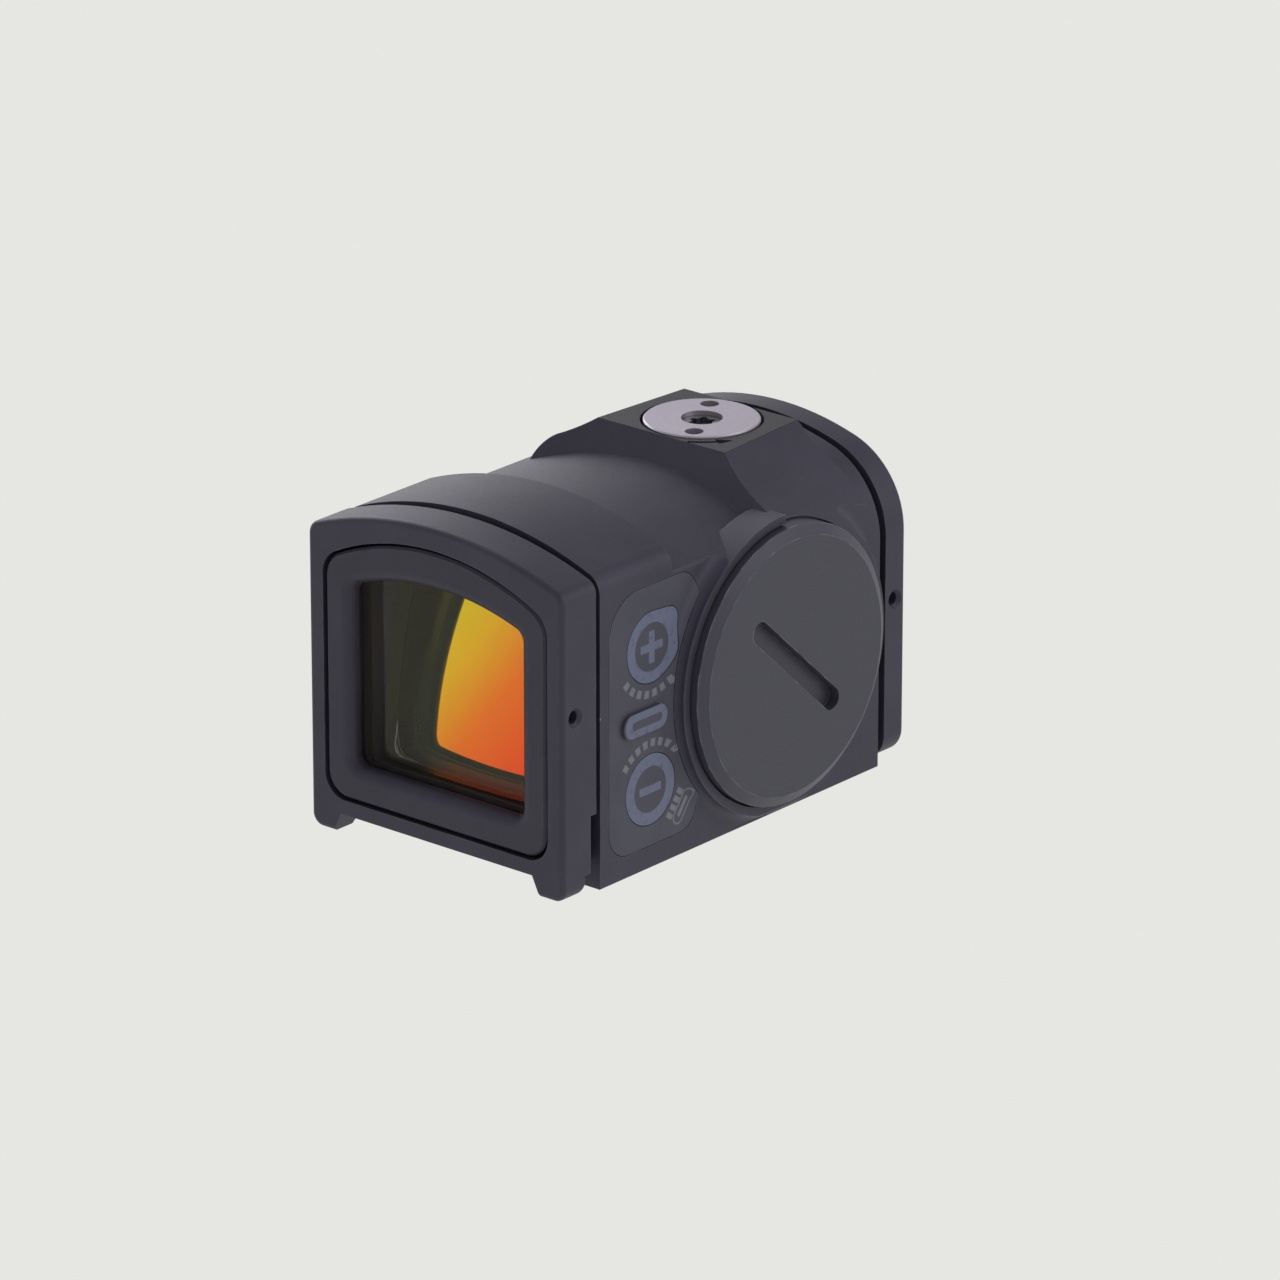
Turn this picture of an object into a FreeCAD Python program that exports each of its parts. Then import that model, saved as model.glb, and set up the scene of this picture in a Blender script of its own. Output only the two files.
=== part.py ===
import FreeCAD, Part
import math
import os

# Enclosed red dot sight, millimetres.
# While modelling, X is to the right (battery side), Y runs back along the optical axis, Z is up from the rails.
# save() then moves the origin to the middle of the mounting channel's roof, which rests on the mount.

V = FreeCAD.Vector

# ---- Driving dimensions ----
FRONT_Y = -0.2              # front and rear faces
REAR_Y = 47.4
HALF_WIDTH = 14.65
RING_HALF = 14.8            # half-width of the front ring
CROWN = 31.4                # top of the front ring
AXIS_Z = 16.2               # optical axis
RAIL_Z = -0.15              # underside of the body, below the front feet
BASE_RELIEF = 1.93          # height of the mounting channel's roof

# Stations along Y
FRONT_RING_END = 4.25
BODY_START = 4.95
STEP_Y = 14.6               # front section drops to the waist here
BOSS_START = 25.0
WAIST_END = 33.65
BOSS_END = 41.6
BODY_END = 43.65
REAR_RING_START = 44.5
RECOIL_SLOT_Y = 8.0

# Cross-section radii
FRONT_ARCH = 40.0
BODY_ARCH = 36.0
WAIST_ARCH = 38.0
REAR_ARCH = 29.5
BODY_CROWN = 31.65          # top of the body's front section
WAIST_CROWN = 29.75
REAR_CROWN = 30.9
REAR_SHOULDER = 8.2
NECK_INSET = 1.2

# Adjuster platform on top
PLATFORM_Z = 31.9
PLATFORM_FRONT = 30.5
PLATFORM_HALF_FRONT = 7.5
PLATFORM_HALF_REAR = 6.6
BOSS_FRONT_SLOPE = 0.737    # run per unit of drop
BOSS_ROOT_Z = 20.0
ADJUSTER_Y = 36.2

# Adjusters, measured outward from the housing surface
DIAL_R = 5.31
DIAL_PROUD = 0.15
DIAL_UNDERSIDE = -1.4
RECESS_R = 5.6
RECESS_FLOOR = -1.5
WALL_INSIDE = -3.8
STEM_R = 2.6
SCREW_R = 1.2
SCREW_HEAD_R = 1.85
DETENT_RADIUS = 4.3
DETENT_COUNT = 24
FIT = 0.05                  # radial running fit

# Front and rear window openings
OPENING_HALF = 9.75
OPENING_BOTTOM = 6.8
OPENING_TOP = 25.6
BEZEL_HALF = 13.05
BEZEL_BOTTOM = 3.3
BEZEL_TOP = 29.4
BEZEL_BACK = 2.6
BEZEL_ROLL = 1.15           # rounded inner edge
SEAM = 0.3                  # gap around a bezel
REAR_HALF = 7.6
REAR_BEZEL_START = 44.8
REAR_BEZEL_HALF = 11.8
REAR_BEZEL_BOTTOM = 2.7
REAR_BEZEL_TOP = 28.0

# Lens, a cemented doublet that leans back
LENS_VERTEX_Y = 4.1
LENS_TILT = 10.5            # degrees
LENS_HALF = 9.7
LENS_RADII = (62.0, 60.0, 57.0)
LENS_DEPTHS = (0.0, 1.7, 3.3)
LENS_RIM_DEPTH = 3.9
CEMENT = 0.02               # thickness of the cement between the two glasses

# Battery bay on the right side
CAP_Y = 28.65
CAP_Z = 14.57
CAP_R = 13.0
CAP_GAP = 0.2
CAP_FACE_X = 17.3
CAP_CHAMFER = (0.62, 1.0)   # along X, radial
FLANGE_X = 15.05
SKIRT_R = 11.6
SKIRT_INNER_R = 10.4
SKIRT_END_X = 12.6
BAY_FLOOR_X = 10.9
CELL_R = 10.0
CELL_X = (11.75, 14.95)
SLOT = (15.6, 2.1, 1.1)     # length, width, depth
SLOT_ANGLE = -42.3
COLLAR_R = 14.0
COLLAR_X = 16.0
COLLAR_REACH = 16.1         # half-width of the body's profile where the collar stands
FLARE = 1.35

# Keypad on the right side, in front of the cap
PAD_Y = (6.1, 18.0)
PAD_Z = (1.95, 26.45)
PAD_CAP_R = 14.3            # the pad's edge follows the cap
PAD_BACK_X = 13.2
BOARD_FLOOR_X = 12.2
KEY_GAP = 0.08
KEY_TRAVEL = 0.4
KEY_BACK_X = 13.65          # back of the keys' flange
PLUS_KEY = (11.9, 20.6)
MINUS_KEY = (11.7, 7.3)

# Moving emitter carriage
CARRIAGE_HALF = 9.75
CARRIAGE_START = 31.4
STAGE_SPLIT = 33.8
STAGE_GAP = 0.2
CARRIAGE_END = 37.4
CHAMBER_HALF = 10.1
CHAMBER_FLOOR = 3.0
CHAMBER_TOP = 28.1
PIN_X = 8.35
PIN_Y = 32.6
PIN_R = 0.6
ROD_R = 0.5
ROD_Y = 35.4
ROD_Z = (7.6, 24.05)
EMITTER_Z = 5.4


# ---- Geometry helpers ----
def box(x0, x1, y0, y1, z0, z1):
    return Part.makeBox(x1 - x0, y1 - y0, z1 - z0, V(x0, y0, z0))


def cyl_x(radius, x0, x1, y, z):
    return Part.makeCylinder(radius, x1 - x0, V(x0, y, z), V(1, 0, 0))


def cyl_y(radius, y0, y1, x, z):
    return Part.makeCylinder(radius, y1 - y0, V(x, y0, z), V(0, 1, 0))


def cyl_z(radius, z0, z1, x, y):
    return Part.makeCylinder(radius, z1 - z0, V(x, y, z0), V(0, 0, 1))


def fused(shapes):
    result = shapes[0]
    for shape in shapes[1:]:
        result = result.fuse(shape)
    return result.removeSplitter()


def mirrored(shape):
    """The same shape on the other side of the YZ plane."""
    return shape.mirror(V(0, 0, 0), V(1, 0, 0))


def arch_wire(y, half, bottom, crown, radius, shoulder, corner):
    """Closed outline across the body at station y: flat bottom, straight sides and an arched top."""
    centre = crown - radius
    side = half - shoulder
    hub = centre + math.sqrt((radius - shoulder) ** 2 - side ** 2)
    reach = radius / (radius - shoulder)
    lean = math.atan2(hub - centre, side)
    middle = lean / 2
    right = [
        Part.makeLine(V(0, y, bottom), V(half - corner, y, bottom)),
        Part.Arc(
            V(half - corner, y, bottom),
            V(half - corner * (1 - math.sqrt(0.5)), y, bottom + corner * (1 - math.sqrt(0.5))),
            V(half, y, bottom + corner),
        ).toShape(),
        Part.makeLine(V(half, y, bottom + corner), V(half, y, hub)),
        Part.Arc(
            V(half, y, hub),
            V(side + shoulder * math.cos(middle), y, hub + shoulder * math.sin(middle)),
            V(side * reach, y, centre + (hub - centre) * reach),
        ).toShape(),
    ]
    top_right = V(side * reach, y, centre + (hub - centre) * reach)
    top = Part.Arc(top_right, V(0, y, crown), V(-top_right.x, y, top_right.z)).toShape()
    left = [mirrored(edge) for edge in reversed(right)]
    return Part.Wire(Part.__sortEdges__(right + [top] + left))


def arch_bar(y0, y1, *outline):
    """A bar of constant arched section from y0 to y1."""
    return Part.Face(arch_wire(y0, *outline)).extrude(V(0, y1 - y0, 0))


def arch_funnel(sections):
    """A solid through several arched outlines, each given as its station and outline."""
    return Part.makeLoft([arch_wire(*section) for section in sections], True, True)


def rounded_at(shape, radius, y, floor=-1.0):
    """Round the edges that lie in the plane at station y and rise above the given floor."""
    edges = []
    for edge in shape.Edges:
        bounds = edge.BoundBox
        if abs(bounds.YMin - y) < 1e-4 and abs(bounds.YMax - y) < 1e-4 and bounds.ZMax > floor:
            edges.append(edge)
    return shape.makeFillet(radius, edges)


def coil(radius, wire, length, turns, place, direction):
    """A compression spring that starts at place and runs along direction."""
    spine = Part.Wire(Part.makeHelix(length / turns, length, radius).Edges)
    section = Part.Wire(Part.makeCircle(wire, V(radius, 0, 0), V(0, 1, 0)))
    spring = spine.makePipeShell([section], True, True)
    turn = FreeCAD.Rotation(V(0, 0, 1), direction)
    spring.Placement = FreeCAD.Placement(place, turn).multiply(spring.Placement)
    return spring


def torus(place, axis, ring, section):
    return Part.makeTorus(ring, section, place, axis)


# ---- Outlines shared by mating pieces ----
def bezel_outline(gap):
    return (BEZEL_HALF - gap, BEZEL_BOTTOM + gap, BEZEL_TOP - gap, 25.8, 2.6, 2.3)


def rear_bezel_outline(gap):
    return (REAR_BEZEL_HALF - gap, REAR_BEZEL_BOTTOM + gap, REAR_BEZEL_TOP - gap, 24.0, 3.2, 2.0)


def opening_outline(grow):
    return (OPENING_HALF + grow, OPENING_BOTTOM - grow, OPENING_TOP + grow, 28.0 + grow, 1.0 + grow, 0.9 + grow)


def rear_opening_outline(grow):
    return (REAR_HALF + grow, 8.6 - grow, 23.8 + grow, 28.0 + grow, 0.8 + grow, 0.8 + grow)


def pad_prism(x0, x1, gap):
    """The keypad's outline, a rounded panel cut away around the battery cap."""
    y0, y1 = PAD_Y[0] + gap, PAD_Y[1] - gap
    z0, z1 = PAD_Z[0] + gap, PAD_Z[1] - gap
    panel = box(x0, x1, y0, y1, z0, z1)
    corners = {(y0, z1): 4.0, (y0, z0): 2.6, (y1, z1): 2.3, (y1, z0): 2.3}
    for (y, z), radius in corners.items():
        for edge in panel.Edges:
            bounds = edge.BoundBox
            along = bounds.XLength > 0.1
            if along and abs(bounds.Center.y - y) < 0.01 and abs(bounds.Center.z - z) < 0.01:
                panel = panel.makeFillet(radius, [edge])
                break
    return panel.cut(cyl_x(PAD_CAP_R + gap, x0 - 1, x1 + 1, CAP_Y, CAP_Z))


def drop_prism(x0, x1, centre, grow):
    """The plus key's drop-shaped outline: a disc drawn out to a small round tip."""
    y, z = centre
    big, small = 3.3 + grow, 1.2 + grow
    tip_y, tip_z = y + 2.3, z + 1.9
    distance = math.hypot(tip_y - y, tip_z - z)
    heading = math.atan2(tip_z - z, tip_y - y)
    open_angle = math.acos((big - small) / distance)
    ends = []
    for side in (-1, 1):
        angle = heading + side * open_angle
        ends.append((V(x0, y + big * math.cos(angle), z + big * math.sin(angle)),
                     V(x0, tip_y + small * math.cos(angle), tip_z + small * math.sin(angle))))
    far = V(x0, y - big * math.cos(heading), z - big * math.sin(heading))
    near = V(x0, tip_y + small * math.cos(heading), tip_z + small * math.sin(heading))
    edges = [
        Part.Arc(ends[0][0], far, ends[1][0]).toShape(),
        Part.makeLine(ends[1][0], ends[1][1]),
        Part.Arc(ends[1][1], near, ends[0][1]).toShape(),
        Part.makeLine(ends[0][1], ends[0][0]),
    ]
    return Part.Face(Part.Wire(edges)).extrude(V(x1 - x0, 0, 0))


def disc_prism(x0, x1, centre, grow):
    return cyl_x(3.3 + grow, x0, x1, *centre)


# ---- Housing ----
def boss_side(y, half, side_z, crest, platform_half, cove):
    """One side of the boss's section: wall, rounded shoulder up to the crest, concave cove."""
    shoulder = (crest[0] + (half - crest[0]) * 0.73, side_z + (crest[1] - side_z) * 0.6)
    hollow = ((crest[0] + platform_half) / 2 - cove * 0.5, (crest[1] + PLATFORM_Z) / 2 - cove * 0.85)
    return [
        Part.makeLine(V(half, y, BOSS_ROOT_Z), V(half, y, side_z)),
        Part.Arc(V(half, y, side_z), V(shoulder[0], y, shoulder[1]), V(crest[0], y, crest[1])).toShape(),
        Part.Arc(
            V(crest[0], y, crest[1]), V(hollow[0], y, hollow[1]), V(platform_half, y, PLATFORM_Z)
        ).toShape(),
    ]


def boss_wire(y, platform_half, right, left):
    """Section of the boss; each side gives its half-width, side height, crest and depth of cove."""
    edges = boss_side(y, *right[:3], platform_half, right[3])
    edges += [mirrored(edge) for edge in boss_side(y, *left[:3], platform_half, left[3])]
    edges.append(Part.makeLine(V(platform_half, y, PLATFORM_Z), V(-platform_half, y, PLATFORM_Z)))
    edges.append(Part.makeLine(V(-left[0], y, BOSS_ROOT_Z), V(right[0], y, BOSS_ROOT_Z)))
    return Part.Wire(Part.__sortEdges__(edges))


def boss():
    """Raised platform for the elevation dial, which runs out over the collar on the right."""
    front = boss_wire(
        BOSS_START, PLATFORM_HALF_FRONT + 0.3,
        (COLLAR_REACH, 27.0, (15.3, 28.5), 0.3), (12.5, 27.4, (11.0, 30.35), 0.1))
    rear = boss_wire(
        BOSS_END, PLATFORM_HALF_REAR,
        (COLLAR_REACH, 21.0, (11.2, 28.5), 0.1), (HALF_WIDTH, 22.3, (11.2, 28.5), 0.1))
    block = Part.makeLoft([front, rear], True, True)
    above = PLATFORM_Z + 1
    drop = PLATFORM_Z - BOSS_ROOT_Z
    wedge = Part.Face(Part.makePolygon([
        V(-20, BOSS_START - 9, above),
        V(-20, PLATFORM_FRONT + BOSS_FRONT_SLOPE, above),
        V(-20, PLATFORM_FRONT - BOSS_FRONT_SLOPE * drop, BOSS_ROOT_Z),
        V(-20, BOSS_START - 9, BOSS_ROOT_Z),
        V(-20, BOSS_START - 9, above),
    ])).extrude(V(40, 0, 0))
    return block.cut(wedge)


def flare_ring():
    """Raised ring around the battery cap that flares down to the side wall."""
    outer = COLLAR_R + FLARE
    bend = FLARE * (1 - math.sqrt(0.5))
    root = HALF_WIDTH - 3
    edges = [
        Part.makeLine(V(root, 0, 0), V(COLLAR_X, 0, 0)),
        Part.makeLine(V(COLLAR_X, 0, 0), V(COLLAR_X, COLLAR_R, 0)),
        Part.Arc(
            V(COLLAR_X, COLLAR_R, 0),
            V(COLLAR_X - FLARE + bend, COLLAR_R + bend, 0),
            V(COLLAR_X - FLARE, outer, 0),
        ).toShape(),
        Part.makeLine(V(COLLAR_X - FLARE, outer, 0), V(root, outer, 0)),
        Part.makeLine(V(root, outer, 0), V(root, 0, 0)),
    ]
    ring = Part.Face(Part.Wire(edges)).revolve(V(0, 0, 0), V(1, 0, 0), 360)
    ring.translate(V(0, CAP_Y, CAP_Z))
    return ring


def collar(top):
    """The flare ring under the body's own top profile, and the rim that stands above it round the cap."""
    front = arch_bar(BODY_START + 0.5, WAIST_END, COLLAR_REACH, 0.3, WAIST_CROWN, WAIST_ARCH, 0.3, 1.2)
    rear = arch_bar(WAIST_END, BODY_END - 0.3, COLLAR_REACH, 0.3, 23.5, WAIST_ARCH, 0.3, 1.2)
    rim = cyl_x(COLLAR_R, SKIRT_END_X, COLLAR_X, CAP_Y, CAP_Z)
    rim = rim.common(box(0, 20, BODY_START, CAP_Y, CAP_Z, 40))
    return fused([flare_ring().common(fused([front, rear, top])), rim])


def front_ring():
    """Front ring, which stands on a locating foot under each side."""
    foot_z = 0.05
    ring = arch_bar(FRONT_Y, FRONT_RING_END, RING_HALF, foot_z, CROWN, FRONT_ARCH, 1.3, 1.2)
    between = Part.Face(Part.makePolygon([
        V(-12.1, FRONT_Y, foot_z), V(-11.2, FRONT_Y, BASE_RELIEF), V(11.2, FRONT_Y, BASE_RELIEF),
        V(12.1, FRONT_Y, foot_z), V(-12.1, FRONT_Y, foot_z),
    ])).extrude(V(0, FRONT_RING_END - FRONT_Y, 0))
    behind = Part.Face(Part.makePolygon([
        V(-16, 2.2, foot_z - 0.1), V(-16, 2.7, 1.1), V(-16, 2.7, BASE_RELIEF),
        V(-16, FRONT_RING_END + 1, BASE_RELIEF), V(-16, FRONT_RING_END + 1, foot_z - 0.1),
        V(-16, 2.2, foot_z - 0.1),
    ])).extrude(V(32, 0, 0))
    ring = rounded_at(ring, 0.5, FRONT_Y, BASE_RELIEF)
    notch = box(12.6, 16, 3.5, FRONT_RING_END, 0, 7.3)
    return ring.cut([between, behind, notch, mirrored(notch)])


def outer_body():
    """The housing's outside, before it is hollowed."""
    front_neck = arch_bar(
        FRONT_RING_END - 0.8, BODY_START, HALF_WIDTH - NECK_INSET, BASE_RELIEF + 0.4,
        CROWN - NECK_INSET, FRONT_ARCH, 1.0, 0.5)
    front = arch_bar(BODY_START, STEP_Y, HALF_WIDTH, RAIL_Z, BODY_CROWN, BODY_ARCH, 2.0, 0.1)
    waist = arch_bar(STEP_Y, WAIST_END, HALF_WIDTH, RAIL_Z, WAIST_CROWN, WAIST_ARCH, 0.5, 0.1)
    taper = arch_funnel([
        (WAIST_END, HALF_WIDTH, RAIL_Z, WAIST_CROWN, WAIST_ARCH, 0.5, 0.1),
        (BOSS_END, HALF_WIDTH, RAIL_Z, WAIST_CROWN, REAR_ARCH, REAR_SHOULDER, 0.1),
    ])
    rear_outline = (REAR_CROWN, REAR_ARCH, REAR_SHOULDER)
    rear = arch_bar(BOSS_END, BODY_END, HALF_WIDTH, RAIL_Z, *rear_outline, 0.1)
    rear_neck = arch_bar(
        BODY_END, REAR_RING_START, HALF_WIDTH - NECK_INSET, 1.5, REAR_CROWN - NECK_INSET, REAR_ARCH,
        REAR_SHOULDER - NECK_INSET, 1.5)
    rear_ring = arch_bar(REAR_RING_START, REAR_Y, HALF_WIDTH, 0.1, *rear_outline, 2.4)
    rear_ring = rounded_at(rear_ring, 0.5, REAR_Y)
    top = boss()
    inner_top = top.common(box(-20, HALF_WIDTH, 0, 60, 0, 60))
    return fused([
        front_ring(), front_neck, front, waist, taper, rear, inner_top, rear_neck, rear_ring,
        collar(top),
    ])


def mount_channel():
    """Dovetail channel under the body, with corner reliefs and a cross slot for a recoil lug."""
    below = RAIL_Z - 0.1
    profile = Part.makePolygon([
        V(-10.37, 0, below), V(10.37, 0, below), V(11.2, 0, BASE_RELIEF), V(-11.2, 0, BASE_RELIEF),
        V(-10.37, 0, below),
    ])
    channel = Part.Face(profile).extrude(V(0, BODY_END - BODY_START + 4, 0))
    channel.translate(V(0, BODY_START - 2, 0))
    end_relief = box(-11.3, 11.3, BODY_END - 0.15, REAR_Y + 1, below, BASE_RELIEF)
    recoil_slot = box(-8.5, 8.5, RECOIL_SLOT_Y, RECOIL_SLOT_Y + 4.1, BASE_RELIEF - 0.1, BASE_RELIEF + 1.3)
    groove = box(10.3, 11.2, BODY_START, REAR_Y + 1, BASE_RELIEF - 0.1, BASE_RELIEF + 0.25)
    return [channel, end_relief, recoil_slot, groove, mirrored(groove)]


def optical_cavity():
    """Everything hollow along the optical axis, from front to rear."""
    tunnel_wires = ((9.0, 4.9, 25.2, 40.0, 1.0, 0.4), (8.6, CHAMBER_FLOOR, 5.0, 300.0, 0.3, 0.3))
    return [
        arch_bar(FRONT_Y - 1, BEZEL_BACK, *bezel_outline(0)),
        arch_bar(BEZEL_BACK - 0.1, 12.6, 9.9, 5.85, 26.0, 40.0, 1.0, 0.9),
        arch_bar(12.5, CARRIAGE_START, *tunnel_wires[0]),
        arch_bar(12.7, CARRIAGE_START, *tunnel_wires[1]),
        box(-CHAMBER_HALF, CHAMBER_HALF, CARRIAGE_START - 0.4, 39.6, CHAMBER_FLOOR, CHAMBER_TOP),
        box(-CHAMBER_HALF, CHAMBER_HALF, 39.5, REAR_BEZEL_START + 0.1, CHAMBER_FLOOR, 26.8),
        arch_bar(REAR_BEZEL_START, REAR_Y + 1, *rear_bezel_outline(0)),
    ]


def battery_bay():
    return [
        cyl_x(CAP_R + CAP_GAP, 14.9, 20, CAP_Y, CAP_Z),
        cyl_x(SKIRT_R + FIT, 12.4, 15, CAP_Y, CAP_Z),
        cyl_x(SKIRT_INNER_R, BAY_FLOOR_X, 12.5, CAP_Y, CAP_Z),
        box(8.5, 12.4, 13.2, 16.2, 3.9, 4.7),
        box(8.5, 11.2, 27.2, 30.1, 4.0, 4.7),
    ]


def keypad_pocket():
    board = box(BOARD_FLOOR_X, PAD_BACK_X + 0.1, PAD_Y[0] + 1, 15.4, PAD_Z[0] + 1.2, PAD_Z[1] - 1.6)
    trimmed = board.common(pad_prism(BOARD_FLOOR_X, PAD_BACK_X + 0.2, 0.9))
    return [pad_prism(PAD_BACK_X, 20, 0), trimmed]


def adjuster_bore():
    """Recess, stem bore and detent hole of one adjuster, outward along +Z."""
    return fused([
        cyl_z(RECESS_R, RECESS_FLOOR, 3, 0, 0),
        cyl_z(STEM_R + FIT, WALL_INSIDE - 1, RECESS_FLOOR + 0.1, 0, 0),
        cyl_z(0.55, -3.3, RECESS_FLOOR + 0.1, DETENT_RADIUS, 0),
    ])


def at_elevation(shape):
    placed = shape.copy()
    placed.translate(V(0, ADJUSTER_Y, PLATFORM_Z))
    return placed


def at_windage(shape):
    placed = shape.copy()
    placed.rotate(V(0, 0, 0), V(0, 1, 0), -90)
    placed.translate(V(-HALF_WIDTH, ADJUSTER_Y, AXIS_Z))
    return placed


def accessory_holes():
    """Small countersunk blind holes in the sides of both rings."""
    holes = []
    for y, z, half in ((1.5, 17.0, RING_HALF), (45.9, 15.4, HALF_WIDTH)):
        drill = cyl_x(0.6, half - 1.6, half + 1, y, z)
        sink = Part.makeCone(0.6, 0.95, 0.35, V(half - 0.34, y, z), V(1, 0, 0))
        holes += [drill, sink, mirrored(drill), mirrored(sink)]
    return holes


def board_bosses():
    corners = [(x, y) for x in (-7.2, 7.2) for y in (14.2, 29.2)]
    bosses = [cyl_z(1.1, CHAMBER_FLOOR - 0.1, 3.3, x, y) for x, y in corners]
    holes = [cyl_z(0.5, 2.25, 3.4, x, y) for x, y in corners]
    return bosses, holes


def direction_arrow():
    """Engraved arrow beside the dial: a curved shaft with a pointed head."""
    shaft = cyl_z(6.55, PLATFORM_Z - 0.25, PLATFORM_Z + 1, 0, 0)
    shaft = shaft.cut(cyl_z(6.1, PLATFORM_Z - 1, PLATFORM_Z + 2, 0, 0))
    sector = Part.makeCylinder(8, 3, V(0, 0, PLATFORM_Z - 1), V(0, 0, 1), 26)
    sector.rotate(V(0, 0, 0), V(0, 0, 1), -62)
    head = Part.Face(Part.makePolygon([
        V(5.65, -0.2, PLATFORM_Z - 0.25), V(7.0, -0.2, PLATFORM_Z - 0.25),
        V(6.33, 1.3, PLATFORM_Z - 0.25), V(5.65, -0.2, PLATFORM_Z - 0.25),
    ])).extrude(V(0, 0, 1.5))
    head.rotate(V(0, 0, 0), V(0, 0, 1), -36)
    arrow = shaft.common(sector).fuse(head)
    arrow.translate(V(0, ADJUSTER_Y, 0))
    return arrow


def housing():
    bosses, screw_holes = board_bosses()
    adjusters = [at_elevation(adjuster_bore()), at_windage(adjuster_bore())]
    adjusters.append(at_windage(cyl_z(3.35, WALL_INSIDE - 1, WALL_INSIDE, 0, 0)))
    pin_holes = [cyl_z(PIN_R, 2.4, 28.7, x, PIN_Y) for x in (-PIN_X, PIN_X)]
    shell = outer_body()
    for cuts in (mount_channel(), optical_cavity(), battery_bay(), keypad_pocket(),
                 accessory_holes(), adjusters, pin_holes, [direction_arrow()]):
        for cut in cuts:
            shell = shell.cut(cut)
    shell = shell.fuse(bosses).cut(screw_holes)
    return shell.removeSplitter()


# ---- Windows and bezels ----
def rolled_edge():
    """Depth and growth of the opening through a quarter-round inner edge."""
    steps = 7
    turns = [math.pi / 2 * step / steps for step in range(steps + 1)]
    return [(BEZEL_ROLL * (1 - math.cos(turn)), BEZEL_ROLL * (1 - math.sin(turn))) for turn in turns]


def front_bezel():
    plate = arch_bar(FRONT_Y, BEZEL_BACK, *bezel_outline(SEAM))
    plate = plate.makeChamfer(0.25, [e for e in plate.Edges if e.BoundBox.YMax < FRONT_Y + 1e-4])
    funnel = arch_funnel([(FRONT_Y + depth, *opening_outline(grow)) for depth, grow in rolled_edge()])
    pocket = arch_bar(FRONT_Y + BEZEL_ROLL - 0.01, BEZEL_BACK + 1, *opening_outline(0.95))
    return plate.cut([funnel, pocket])


def front_window():
    return arch_bar(FRONT_Y + BEZEL_ROLL + 0.01, BEZEL_BACK - 0.28, *opening_outline(0.9))


def front_window_seal():
    frame = arch_bar(BEZEL_BACK - 0.27, BEZEL_BACK - 0.01, *opening_outline(0.9))
    return frame.cut(arch_bar(BEZEL_BACK - 1, BEZEL_BACK + 1, *opening_outline(0.1)))


def rear_bezel():
    plate = arch_bar(REAR_BEZEL_START, REAR_Y, *rear_bezel_outline(SEAM))
    plate = plate.makeChamfer(0.25, [e for e in plate.Edges if e.BoundBox.YMin > REAR_Y - 1e-4])
    funnel = arch_funnel([(REAR_Y - depth, *rear_opening_outline(grow)) for depth, grow in rolled_edge()])
    pocket = arch_bar(REAR_BEZEL_START - 1, REAR_Y - BEZEL_ROLL + 0.01, *rear_opening_outline(1.3))
    return plate.cut([funnel, pocket])


def rear_window():
    return arch_bar(REAR_BEZEL_START + 0.3, REAR_Y - BEZEL_ROLL - 0.01, *rear_opening_outline(1.25))


def rear_window_seal():
    frame = arch_bar(REAR_BEZEL_START + 0.01, REAR_BEZEL_START + 0.28, *rear_opening_outline(1.25))
    return frame.cut(arch_bar(REAR_BEZEL_START - 1, REAR_BEZEL_START + 1, *rear_opening_outline(0.2)))


# ---- Lens ----
def lens_blank(start, end):
    """Square lens outline with rounded corners and an arched top, along the lens axis."""
    blank = arch_bar(start, end, LENS_HALF, -9.5, 9.3, 36.0, 1.2, 1.0)
    return blank


def lens_ball(surface):
    radius = LENS_RADII[surface]
    return Part.makeSphere(radius, V(0, LENS_DEPTHS[surface] + radius, 0))


def seated_lens(shape):
    """Lean the shape back and put it on the optical axis."""
    placed = shape.copy()
    placed.rotate(V(0, 0, 0), V(1, 0, 0), -LENS_TILT)
    placed.translate(V(0, LENS_VERTEX_Y, AXIS_Z))
    return placed


def front_lens():
    return seated_lens(lens_blank(-1, 6).common(lens_ball(0)).cut(lens_ball(1)))


def rear_lens():
    front = lens_ball(1)
    front.translate(V(0, CEMENT, 0))
    return seated_lens(lens_blank(-1, LENS_RIM_DEPTH).common(front).cut(lens_ball(2)))


def lens_retainer():
    """Frame behind the lens that presses it against its seat."""
    frame = lens_blank(LENS_RIM_DEPTH + 0.02, LENS_RIM_DEPTH + 1.0)
    light_way = arch_bar(0, 9, 8.2, -8.0, 7.8, 36.0, 0.8, 0.8)
    return seated_lens(frame.cut(light_way))


# ---- Battery bay ----
def battery_cap():
    axial, radial = CAP_CHAMFER
    rim_x = CAP_FACE_X - axial
    flange = cyl_x(CAP_R, FLANGE_X, rim_x, CAP_Y, CAP_Z)
    bevel = Part.makeCone(CAP_R, CAP_R - radial, axial, V(rim_x, CAP_Y, CAP_Z), V(1, 0, 0))
    skirt = cyl_x(SKIRT_R, SKIRT_END_X, FLANGE_X, CAP_Y, CAP_Z)
    hollow = cyl_x(SKIRT_INNER_R, SKIRT_END_X - 1, FLANGE_X, CAP_Y, CAP_Z)
    groove = cyl_x(12.72, FLANGE_X - 0.1, 15.72, CAP_Y, CAP_Z).cut(
        cyl_x(11.88, FLANGE_X - 0.2, 15.8, CAP_Y, CAP_Z))
    return fused([flange, bevel, skirt]).cut([hollow, groove, coin_slot()])


def coin_slot():
    length, width, depth = SLOT
    reach = (length - width) / 2
    bar = box(CAP_FACE_X - depth, CAP_FACE_X + 1, -reach, reach, -width / 2, width / 2)
    ends = [cyl_x(width / 2, CAP_FACE_X - depth, CAP_FACE_X + 1, y, 0) for y in (-reach, reach)]
    slot = fused([bar] + ends)
    slot.rotate(V(0, 0, 0), V(1, 0, 0), SLOT_ANGLE)
    slot.translate(V(0, CAP_Y, CAP_Z))
    return slot


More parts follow.
